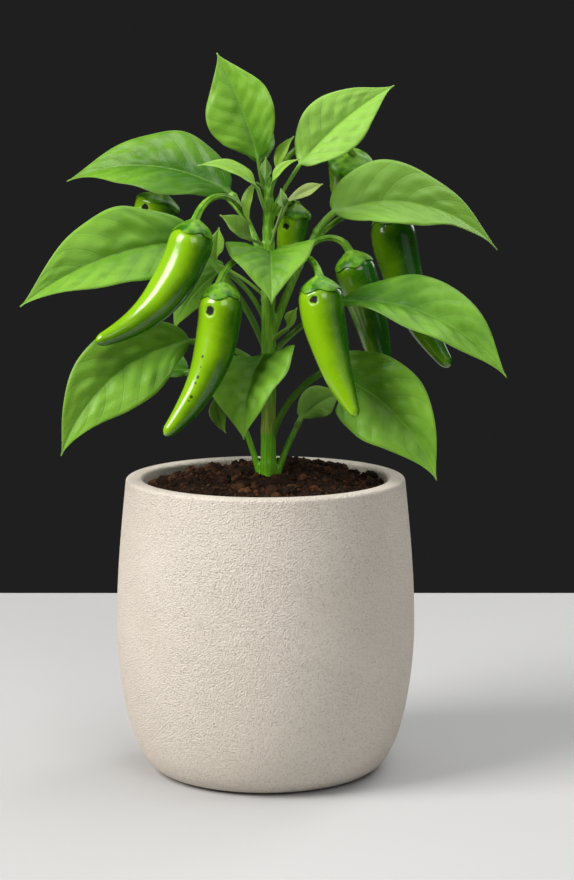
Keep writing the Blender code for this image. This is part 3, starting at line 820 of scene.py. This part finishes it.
def stem_finish():
    """Green skin with fine lengthwise streaks, browner in the band above the ring."""
    finish = Finish("stem_skin")
    height = finish.node("ShaderNodeSeparateXYZ", {}, {0: finish.where}, "Z")
    drawn = finish.node("ShaderNodeMapping", {"vector_type": "POINT"},
                        {"Vector": finish.where, "Scale": (1.0, 1.0, 0.07)})
    streaks = finish.grain(900.0, 2.0, where=drawn)
    mottle = finish.grain(110.0, 3.0)
    green = finish.blend(finish.step(streaks, 0.38, 0.66), (0.095, 0.285, 0.010),
                         (0.205, 0.44, 0.024))
    broad = finish.step(streaks, 0.35, 0.7)
    fresh = finish.blend(broad, (0.085, 0.29, 0.004), (0.165, 0.44, 0.008))
    barky = finish.blend(broad, (0.13, 0.20, 0.016), (0.27, 0.34, 0.040))
    high = finish.step(height, (STEM_RING - 3) * MM, (STEM_RING + 1) * MM)
    band = high * (1 - finish.step(height + mottle * 0.02, 0.226, 0.244))
    colour = finish.blend(1 - high, finish.blend(band * 0.75, green, barky), fresh)
    relief = streaks * 0.7 + finish.grain(700.0, 2.0) * 0.3
    shader = finish.principled(Base_Color=colour, Roughness=0.42, Specular_IOR_Level=0.45,
                               Normal=finish.bump(relief, 0.0004, 0.5))
    return finish.finished(shader)


# %% Make the stem
stem = melting_tree().run(line_piece("green_stem", limb_lines()), {
    "Facets": 28, "Voxel": 0.00055, "Blur": 4, "Material": stem_finish()})
stand_in(stem, "stem_green", "stem")

# %% [markdown]
# ## The leaves
# A pepper leaf is a thin sheet with a folded midrib. Five or six pairs of side veins
# curve from it towards the tip, and the leaf swells like a quilt between them. The
# sheet is built ring by ring: each ring runs over the upper face and back along the
# underside. Quilting and rib are in the shape itself. What is too fine for the mesh,
# such as the net of small veins, is left to the finish, which reads measures that
# every point carries: its distance from rib and edge in millimetres, and its place
# between two side veins.

# %% The shape of a blade
BLADE_THICKNESS = 0.55
MIDRIB_DEPTH = 1.2
MIDRIB_WIDTH = 1.05
BASE_FULLNESS = 0.65
TIP_FINENESS = 1.4
BLADE_FOLD = 0.42
BLADE_CAMBER = 0.12
EDGE_WAVE = 0.05
EDGE_WAVES = 2.6
TIP_HALF_WIDTH = 0.45
STALK_OPENS = 0.12
HALF_COLUMNS = 14
COLUMN_CROWDING = 1.35
VEIN_SPACING = 0.135
VEIN_LEAN = 0.24
QUILT = 1.0
DENTS = 1.4


def outline(share, belly):
    """Half width of a blade along its length, 1 at the belly and 0 at both ends."""
    if share < belly:
        return math.sin(math.pi / 2 * share / belly) ** BASE_FULLNESS
    closing = math.pi / 2 * (share - belly) / (1 - belly)
    return max(math.cos(closing), 0.0) ** TIP_FINENESS


def vein_course(share, across):
    """Counts side veins: whole numbers lie on a vein, halves between two."""
    lean = VEIN_LEAN * abs(across) ** 1.2
    return (share - lean) / VEIN_SPACING + (0.35 if across > 0 else 0.0) + 8.0


def quilting(share, across, width, phase):
    """How far the sheet swells between the veins, in millimetres."""
    away = abs(vein_course(share, across) % 1.0 - 0.5) * 2
    from_rib = min(abs(across) * width / 4.0, 1.0)
    from_edge = 1 - abs(across) ** 6
    from_ends = min(share / 0.15, 1.0) * min((1 - share) / 0.3, 1.0)
    uneven = 1 + 0.9 * noise.noise(Vector((5 * share, 2.5 * across, phase)))
    swell = QUILT * uneven * math.cos(math.pi / 2 * away) ** 2
    swell += DENTS * noise.noise(Vector((9 * share, 4 * across, phase + 7)))
    return width / 25 * swell * from_rib * from_edge * from_ends


def blade_section(share, half_width, belly, stalk_radius, phase):
    """One closed ring of (side, height, across, upper) round a stalk or a blade."""
    opened = min(share / STALK_OPENS, 1.0)
    width = max(half_width * outline(share, belly), TIP_HALF_WIDTH * opened)
    width *= 1 + 0.01 * math.sin(23 * share + phase)
    spread = 2 * HALF_COLUMNS / (2 * HALF_COLUMNS + 1)
    ring = []
    for row in (1, -1):
        for column in range(2 * HALF_COLUMNS + 1):
            even = row * (column / HALF_COLUMNS - 1)
            across = math.copysign(abs(even) ** COLUMN_CROWDING, even)
            angle = math.radians(row * (90 - 90 * even * spread))
            away = across * width
            wave = math.sin(2 * math.pi * EDGE_WAVES * share + phase + 1.9 * (across > 0))
            height = width * (BLADE_FOLD * abs(across) - BLADE_CAMBER * across ** 2
                              + EDGE_WAVE * wave * across ** 2)
            height += quilting(share, across, width, phase)
            height += row * BLADE_THICKNESS / 2 * (1 - 0.5 * across ** 4)
            rib = MIDRIB_DEPTH * math.exp(-(away / MIDRIB_WIDTH) ** 2)
            rib *= 1 - 0.85 * share
            height -= 0.35 * rib if row > 0 else rib
            side = away + (1 - opened) * stalk_radius * math.cos(angle)
            height = opened * height + (1 - opened) * stalk_radius * math.sin(angle)
            ring.append((side, height, across, row))
    return ring


print("points in a ring round a leaf:", 2 * (2 * HALF_COLUMNS + 1))

# %% Grow a leaf
STALK_RING_SPACE = 2.5
BLADE_RING_SPACE = 1.6
FEWEST_RINGS = (4, 22)
# a blade turns out of its stalk over a fifth of its length, a small one over two fifths
SMALL_LEAF = 40.0
TURN_SHARE = 0.2
SMALL_TURN_SHARE = 0.4
TURN_HASTE = 0.92


def leaf_stations(start, stalk, blade):
    """Where the rings stand: point, facing, rise, share of the blade and roll."""
    *arc, radius = stalk
    heading, length, rise_a, rise_b = arc
    blade_heading, blade_length, width, rise_c, rise_d, roll_a, roll_b, belly = blade
    blade_arc = (blade_heading, blade_length, rise_c, rise_d)
    turn_share = SMALL_TURN_SHARE if blade_length < SMALL_LEAF else TURN_SHARE
    stalk_rings = max(FEWEST_RINGS[0], round(length / STALK_RING_SPACE))
    stations = [(arc_point(start, arc, step / stalk_rings), heading,
                 between(rise_a, rise_b, step / stalk_rings), 0.0, roll_a)
                for step in range(stalk_rings)]
    base = arc_point(start, arc, 1.0)
    blade_rings = max(FEWEST_RINGS[1], round(blade_length / BLADE_RING_SPACE))
    for step in range(blade_rings + 1):
        share = step / blade_rings
        turned = min(share ** (1 / TURN_HASTE) / turn_share, 1.0)
        turned = turned * turned * (3 - 2 * turned)
        stations.append((arc_point(base, blade_arc, share),
                         between(heading, blade_heading, turned),
                         between(rise_b, between(rise_c, rise_d, share), turned),
                         share, between(roll_a, roll_b, share)))
    return stations


def ring_faces(rings, around):
    """Faces of a closed skin through rings of points, with a cap at each end."""
    faces = []
    for ring in range(rings - 1):
        for k in range(around):
            after = (k + 1) % around
            faces.append((ring * around + k, ring * around + after,
                          (ring + 1) * around + after, (ring + 1) * around + k))
    faces.append(tuple(reversed(range(around))))
    faces.append(tuple(range((rings - 1) * around, rings * around)))
    return faces


def grow_leaf(name, order, tone, young=0.0, blush=0.0):
    limb, place, stalk, blade = LEAVES[name]
    stations = leaf_stations(limb_point(limb, place), stalk, blade)
    half_width, belly = blade[2] / 2, blade[7]
    points, course, rib, edge, along, upper = [], [], [], [], [], []
    for point, facing, rise, share, roll in stations:
        forward = heading_vector(facing, rise)
        side = heading_vector(facing - 90, 0)
        up = side.cross(forward)
        turn = Matrix.Rotation(math.radians(roll), 3, forward)
        side, up = turn @ side, turn @ up
        width = half_width * outline(share, belly)
        for away, height, across, row in blade_section(share, half_width, belly, stalk[4],
                                                       2.1 * order):
            points.append(point + side * away + up * height)
            course.append(vein_course(share, across))
            rib.append(abs(across) * width)
            edge.append((1 - abs(across)) * width)
            along.append(share)
            upper.append(float(row > 0))
    around = 2 * (2 * HALF_COLUMNS + 1)
    piece = mesh_piece(name.replace("leaf_", "blade_").replace("sprout_", "young_"), points,
                       ring_faces(len(stations), around))
    carry(piece, course=course, rib=rib, edge=edge, along=along, upper=upper,
          tone=[tone] * len(points), young=[young] * len(points),
          blush=[blush] * len(points))
    return piece


# %% [markdown]
# A leaf's upper face is waxy and deeper green, its underside dull and pale. Light
# that falls on one side comes out of the other, yellow and soft, so a part of the
# shader is translucent. The rib and the side veins are pale lines, the margin is a
# thin pale rim, and a net of very fine veins roughens the light between them.

# %% Finish of the leaves
LIT_THROUGH = 0.25


def leaf_finish():
    finish = Finish("waxy_leaf")
    tone = finish.attribute("tone")
    young = finish.attribute("young")
    upper = finish.attribute("upper")
    along = finish.attribute("along")
    part = finish.node("ShaderNodeMath", {"operation": "FRACT"}, {0: finish.attribute("course")})
    away = finish.node("ShaderNodeMath", {"operation": "ABSOLUTE"}, {0: part - 0.5}) * 2
    blade = finish.step(along, 0.01, 0.10)
    side_vein = finish.step(away, 0.88, 0.985) * blade
    midrib = 1 - finish.step(finish.attribute("rib"), 0.2, 0.85)
    margin = (1 - finish.step(finish.attribute("edge"), 0.12, 0.5)) * blade
    net = (1 - finish.step(finish.cells("DISTANCE_TO_EDGE", 420.0), 0.0, 0.09)) * blade
    clouds = finish.grain(38.0, 3.0)
    fine = finish.grain(260.0, 3.0)
    outwards = finish.step(finish.attribute("rib"), 0.0, 16.0)
    # painted light and shade: the tone term was set leaf by leaf for how the lamps fall
    light = clouds * 0.8 + tone * 0.7 + fine * 0.2 + outwards * 0.25 + along * 0.70
    light = finish.step(light - away * away * 0.10, 0.70, 1.66)
    green = finish.blend(light, (0.032, 0.138, 0.001), (0.232, 0.495, 0.042))
    green = finish.blend(young, green, (0.26, 0.50, 0.025))
    # painted light: a tone above 0.9 lays a pale wash on leaves that face away from the key light
    green = finish.blend(finish.step(tone, 0.9, 1.6) * (0.35 + 0.65 * light), green,
                         (0.40, 0.72, 0.13))
    green = finish.blend(net * 0.10, green, (0.20, 0.42, 0.06))
    green = finish.blend(side_vein * 0.16, green, (0.21, 0.42, 0.065))
    green = finish.blend(midrib * 0.26, green, (0.23, 0.44, 0.065))
    under = finish.blend(light, (0.105, 0.255, 0.045), (0.19, 0.37, 0.085))
    under = finish.blend(side_vein * 0.5, under, (0.27, 0.45, 0.13))
    under = finish.blend(midrib * 0.7, under, (0.27, 0.45, 0.12))
    colour = finish.blend(upper, under, green)
    colour = finish.blend(margin * 0.6, colour, (0.30, 0.47, 0.13))
    colour = finish.blend(finish.attribute("blush"), colour, (0.42, 0.36, 0.21))
    relief = net * -0.10 + fine * 0.35 + side_vein * (0.5 - upper) * 0.5
    normal = finish.bump(relief, 0.0006, 0.6)
    roughness = 0.40 + (fine - 0.5) * 0.25 + (1 - upper) * 0.2
    waxy = finish.principled(Base_Color=colour, Roughness=roughness,
                             Specular_IOR_Level=0.25, Normal=normal)
    glow = finish.node("ShaderNodeBsdfTranslucent", {},
                       {"Color": (0.36, 0.62, 0.05), "Normal": normal})
    return finish.finished(finish.node("ShaderNodeMixShader", {},
                                       {0: LIT_THROUGH, 1: waxy, 2: glow}))


# %% Make the leaves
# leaf: tone, from 0 deep to 1 pale, partly painted light and shade set for how the lamps fall, and
# above 0.9 a painted pale wash; young, from 0 to 1 fresh yellow green; blush, beige
LEAF_TONES_AND_PAINTED_LIGHT = {
    "leaf_crown_left": (0.66,), "leaf_crown_right": (1.24,), "leaf_upper_left": (0.20,),
    "leaf_upper_right": (1.15,), "leaf_middle_left": (0.60,), "leaf_middle_right": (0.28,),
    "leaf_lower_left": (0.78,), "leaf_lower_right": (0.34,), "leaf_front_upper": (0.40,),
    "leaf_front_lower": (0.36,), "sprout_base_right": (1.6, 0.3),
    "sprout_base_left": (1.2, 0.3, 0.05), "sprout_knob": (0.7, 0.25, 0.05),
    "sprout_left": (0.6, 0.1, 0.1), "sprout_arched": (1.3, 0.8),
    "sprout_hanging": (0.6, 0.5, 0.10), "sprout_pale": (0.9, 0.2, 0.45),
    "sprout_axil": (0.6, 0.3, 0.1), "sprout_crown": (1.2, 0.9),
    "sprout_tall": (0.7, 0.6, 0.06), "sprout_bud": (1.1, 0.8, 0.06),
    "sprout_small_right": (0.8, 0.4, 0.05),
}
PLAIN_TONE = (0.45,)
LEAF_FINISH = leaf_finish()
for order, name in enumerate(LEAVES):
    leaf = grow_leaf(name, order, *LEAF_TONES_AND_PAINTED_LIGHT.get(name, PLAIN_TONE))
    stand_in(leaf, "leaf_green", name, finish=LEAF_FINISH)
print("leaves:", len(LEAVES))

# %% [markdown]
# ## The pods
# A chilli pod is a hollow berry with a taut glossy skin. It is round under the
# calyx, a little three-sided further down, and ends in a blunt tip. Low swells
# run round it, which is what makes the highlight waver. Painted light: the side that
# faces the soft box on the left is painted paler and the far side deeper green, so
# every point carries how far it faces that way. Four pods have a small hole with a
# dry rim, bored by an insect, its inside painted dark as painted shade, and one has
# a row of dark scars.

# %% The shape of a pod
POD_SIDES = 60
POD_RINGS = 96
POD_CLOSES = 0.9985
SHOULDER_START = 0.42
SHOULDER_REACH = 0.15
TIP_START = 0.955
LOBE_DEPTH = 0.030
WAVE_DEPTH = 0.022
HOLE_DEPTH = 1.3


def pod_radius(share, width, taper):
    """Half the pod's thickness: a full shoulder, an even taper and a blunt tip."""
    shoulder = between(SHOULDER_START, 1.0, 1 - (1 - min(share / SHOULDER_REACH, 1.0)) ** 2.6)
    body = 1 - taper * share ** 2
    past = max(share - TIP_START, 0.0) / (1 - TIP_START)
    return width / 2 * shoulder * body * math.sqrt(max(1 - past ** 2, 0.0))


def pod_frame(top, pod, share):
    """The pod's centre line at a share: centre, forward, side and up."""
    heading, length, width, rise_a, rise_b, taper = pod
    arc = (heading, length, rise_a, rise_b)
    forward = arc_facing(arc, share)
    side = heading_vector(heading - 90, 0)
    return arc_point(top, arc, share), forward, side, side.cross(forward)


def pod_point(top, pod, share, angle, extra=0.0, swell=0.0):
    """A point of the skin, or extra millimetres outside it."""
    centre, forward, side, up = pod_frame(top, pod, share)
    radius = pod_radius(share, pod[2], pod[5])
    lobes = LOBE_DEPTH * math.cos(3 * angle + 4 * share + swell) * math.sin(math.pi * share)
    lobes += WAVE_DEPTH * math.sin(13 * share + swell + math.cos(angle)) * min(share * 4, 1.0)
    radius *= 1 + (lobes if swell else 0.0)
    return centre + (side * math.cos(angle) + up * math.sin(angle)) * (radius + extra)


# number: (share, angle in degrees, radius of the hole)
POD_HOLES = {"2": (0.14, 124, 3.1), "3": (0.125, 20, 2.6), "7": (0.21, 130, 2.6),
             "8": (0.26, 188, 2.3)}
# number: (share, angle in degrees, size) of each small dark scar
POD_SCARS = {"2": ((0.45, 126, 1.1), (0.52, 131, 0.6), (0.59, 134, 1.2), (0.63, 134, 0.8),
                   (0.72, 144, 1.2), (0.75, 144, 0.9))}
# painted light: the direction towards the key light; each pod is painted paler on the side that
# faces it
PAINTED_LIGHT_SIDE = Vector((-0.80, -0.48, 0.35)).normalized()


def grow_pod(number):
    limb, place, stalk, pod = PODS[number]
    top = arc_point(limb_point(limb, place), stalk, 1.0)
    swell = 1.0 + 0.9 * int(number)
    hole = POD_HOLES.get(number)
    centre = pod_point(top, pod, hole[0], math.radians(hole[1]), 0.0, swell) if hole else None
    points, sunny = [], []
    for ring in range(POD_RINGS):
        even = ring / (POD_RINGS - 1)
        share = POD_CLOSES * between(even, 0.5 - 0.5 * math.cos(math.pi * even), 0.55)
        axis = pod_frame(top, pod, share)[0]
        for angle in full_turn(POD_SIDES):
            point = pod_point(top, pod, share, angle, 0.0, swell)
            if hole:
                depth = HOLE_DEPTH * math.exp(-((point - centre).length / hole[2]) ** 4)
                point += (axis - point).normalized() * depth
            points.append(point)
            # painted light: how far each point faces the key light, for the pod finish
            sunny.append((point - axis).normalized().dot(PAINTED_LIGHT_SIDE))
    piece = mesh_piece("glossy_pod_" + number, points, ring_faces(POD_RINGS, POD_SIDES))
    carry(piece, sunny=sunny)
    scars = [(pod_point(top, pod, share, math.radians(angle), 0.0, swell), size)
             for share, angle, size in POD_SCARS.get(number, ())]
    return piece, centre, scars


print("points of a pod:", POD_RINGS * POD_SIDES)

# %% Finish of the pods
# the second argument is how light the pod's green is, pod by pod
def pod_finish(number, green_lightness, centre, scars):
    """Taut skin with painted light, paler on the side towards the key light; pale dots, a hole
    painted dark as painted shade and scars where given.
    """
    finish = Finish("pod_skin_" + number)
    clouds = finish.grain(55.0, 2.0)
    fine = finish.grain(420.0, 2.0)
    sunny = finish.attribute("sunny")
    # painted light and shade: the side towards the key light is painted paler, the far side deeper
    # green
    light = finish.step(clouds * 0.8 + fine * 0.15 + green_lightness + sunny * 0.72 - 0.78, 0.0, 1.0)
    colour = finish.blend(light, (0.012, 0.100, 0.001), (0.228, 0.465, 0.003))
    dots = 1 - finish.step(finish.cells("F1", 330.0), 0.10, 0.20)
    colour = finish.blend(dots * 0.14, colour, (0.42, 0.62, 0.10))
    relief = clouds * 0.6 + fine * 0.12
    roughness = 0.20 + 0.10 * fine
    coat = 0.5
    for spot, size in scars:
        ragged = finish.gap(spot) + (fine - 0.5) * 0.0012
        scar = 1 - finish.step(ragged, size * 0.6 * MM, size * 1.1 * MM)
        colour = finish.blend(scar * 0.85, colour, (0.016, 0.030, 0.004))
    if centre:
        ragged = finish.gap(centre) + (fine - 0.5) * 0.0018
        radius = POD_HOLES[number][2] * MM
        rim = 1 - finish.step(ragged, radius * 1.0, radius * 1.4)
        # painted shade: the hole is only a shallow dent, so its inside is painted nearly black
        painted_hole_shade = 1 - finish.step(ragged, radius * 0.8, radius * 1.05)
        colour = finish.blend(rim * 0.22, colour, (0.26, 0.40, 0.03))
        colour = finish.blend(painted_hole_shade, colour, (0.006, 0.010, 0.003))
        roughness = roughness + rim * 0.6
        coat = 0.5 - 0.5 * rim
    shader = finish.principled(Base_Color=colour, Roughness=roughness, Coat_Weight=coat,
                               Coat_Roughness=0.12, Specular_IOR_Level=0.35,
                               Normal=finish.bump(relief, 0.0009, 0.35))
    return finish.finished(shader)


# %% Make the pods
# how light each pod's green is, from 0 to 1
POD_LIGHT = {"1": 0.66, "2": 0.64, "3": 0.62, "4": 0.28, "5": 0.20, "6": 0.42, "7": 0.60,
             "8": 0.66}
for number in PODS:
    pod, centre, scars = grow_pod(number)
    stand_in(pod, "pod_green", "pod_" + number,
             finish=pod_finish(number, POD_LIGHT[number], centre, scars))
print("pods:", len(PODS))

# %% [markdown]
# ## Calyx and pedicel
# The pod hangs from a pedicel that thickens downwards and opens like a trumpet into
# the calyx, a shallow cap with five blunt teeth. Cap and pedicel are one skin: along
# the stalk, out over the cap, round its rim, and back under it. Five low ribs run
# from the pedicel to the teeth.

# %% The shape of a calyx
CALYX_SIDES = 50
PEDICEL_END_RADIUS = 2.4
CALYX_LENGTH = 6.5
CALYX_THICKNESS = 1.2
CALYX_NECK = 3.4
CALYX_TEETH = 0.3
CALYX_RIBS = 0.30
CALYX_ROOM = 0.3
CALYX_SEAT = 0.5
CAP_SHARE = 0.82


def tooth(angle):
    """1 in the middle of a tooth and 0 between two of the five."""
    return 0.5 + 0.5 * math.cos(5 * angle)


def plain_circle(centre, side, up, radius, ribs):
    ring = []
    for angle in full_turn(CALYX_SIDES):
        own = radius + ribs * math.cos(5 * angle)
        ring.append(centre + (side * math.cos(angle) + up * math.sin(angle)) * own)
    return ring


def cap_ring(top, pod, share, extra, teeth, ribs=0.0):
    ring = []
    for angle in full_turn(CALYX_SIDES):
        own = share * (1 - teeth * (1 - tooth(angle) ** 0.8))
        ring.append(pod_point(top, pod, own, angle, extra + ribs * tooth(angle)))
    return ring


def pedicel_rings(start, arc, neck, side):
    """Rings from the heel to the calyx, turned as little as possible on the way."""
    length = arc[1]
    reach = 1 - 1.5 * neck.length / length
    count = max(8, round(length / 2.2))
    rings = []
    for step in reversed(range(count + 1)):
        share = step / count
        forward = arc_facing(arc, share * reach)
        side = (side - forward * side.dot(forward)).normalized()
        centre = arc_point(start, arc, share * reach) - neck * (share * reach) ** 2
        radius = between(PEDICEL_RADIUS, PEDICEL_END_RADIUS * 0.9, share ** 3)
        radius *= 1 - 0.10 * math.sin(math.pi * share)
        rings.insert(0, plain_circle(centre, side, side.cross(forward), radius,
                                     0.10 + 0.10 * share))
    return rings


def grow_calyx(number):
    limb, place, arc, pod = PODS[number]
    start = limb_point(limb, place)
    top = arc_point(start, arc, 1.0)
    centre, axis, side, up = pod_frame(top, pod, 0.0)
    crown = pod_radius(0.0, pod[2], pod[5])
    neck = axis * CALYX_NECK
    lid = CALYX_SEAT + CALYX_THICKNESS
    rim = CALYX_LENGTH / pod[1]
    rings = pedicel_rings(start, arc, neck, side)
    for step in range(9):
        share = step / 8
        rings.append(plain_circle(top - axis * between(CALYX_NECK, lid, share), side, up,
                                  between(PEDICEL_END_RADIUS, CAP_SHARE * crown, share ** 1.8),
                                  between(0.2, 0.35, share)))
    on_stalk = len(rings)
    for step in range(1, 13):
        share = step / 12
        thick = between(lid - 0.2, 0.75, share ** 1.1)
        rings.append(cap_ring(top, pod, rim * share, thick, CALYX_TEETH * share ** 2,
                              CALYX_RIBS * (1 - share)))
    rings.append(cap_ring(top, pod, rim * 1.012, CALYX_SEAT, CALYX_TEETH))
    for step in range(6, -1, -1):
        share = step / 6
        rings.append(cap_ring(top, pod, rim * share, CALYX_ROOM, CALYX_TEETH * share ** 2))
    rings.append(plain_circle(top - axis * CALYX_ROOM, side, up, 0.85 * crown, 0.0))
    points = [point for ring in rings for point in ring]
    piece = mesh_piece("calyx_cap_" + number, points, ring_faces(len(rings), CALYX_SIDES))
    cap = [min(max((k - on_stalk + 6) / 12, 0.0), 1.0) for k in range(len(rings))]
    ridge = [tooth(angle) for angle in full_turn(CALYX_SIDES)]
    carry(piece, cap=[value for value in cap for k in range(CALYX_SIDES)],
          ridge=[value for ring in rings for value in ridge])
    return piece


print("points in a ring of a calyx:", CALYX_SIDES)

# %% Finish of the calyces
def calyx_finish():
    """Paler and yellower on the pedicel and on the ribs, deeper on the cap."""
    finish = Finish("calyx_skin")
    cap = finish.attribute("cap")
    ridge = finish.attribute("ridge")
    mottle = finish.grain(240.0, 3.0)
    stalk = finish.blend(finish.step(mottle, 0.35, 0.65), (0.090, 0.25, 0.012),
                         (0.19, 0.40, 0.028))
    cover = finish.blend(finish.step(mottle + ridge * 0.2, 0.40, 0.78), (0.022, 0.120, 0.003),
                         (0.115, 0.310, 0.008))
    colour = finish.blend(finish.step(cap, 0.2, 0.8), stalk, cover)
    relief = mottle * 0.5 + finish.grain(900.0, 2.0) * 0.2
    shader = finish.principled(Base_Color=colour, Roughness=0.36, Specular_IOR_Level=0.25,
                               Normal=finish.bump(relief, 0.0005, 0.35))
    return finish.finished(shader)


CALYX_FINISH = calyx_finish()
for number in PODS:
    stand_in(grow_calyx(number), "calyx_green", "calyx_" + number, finish=CALYX_FINISH)
print("calyces:", len(PODS))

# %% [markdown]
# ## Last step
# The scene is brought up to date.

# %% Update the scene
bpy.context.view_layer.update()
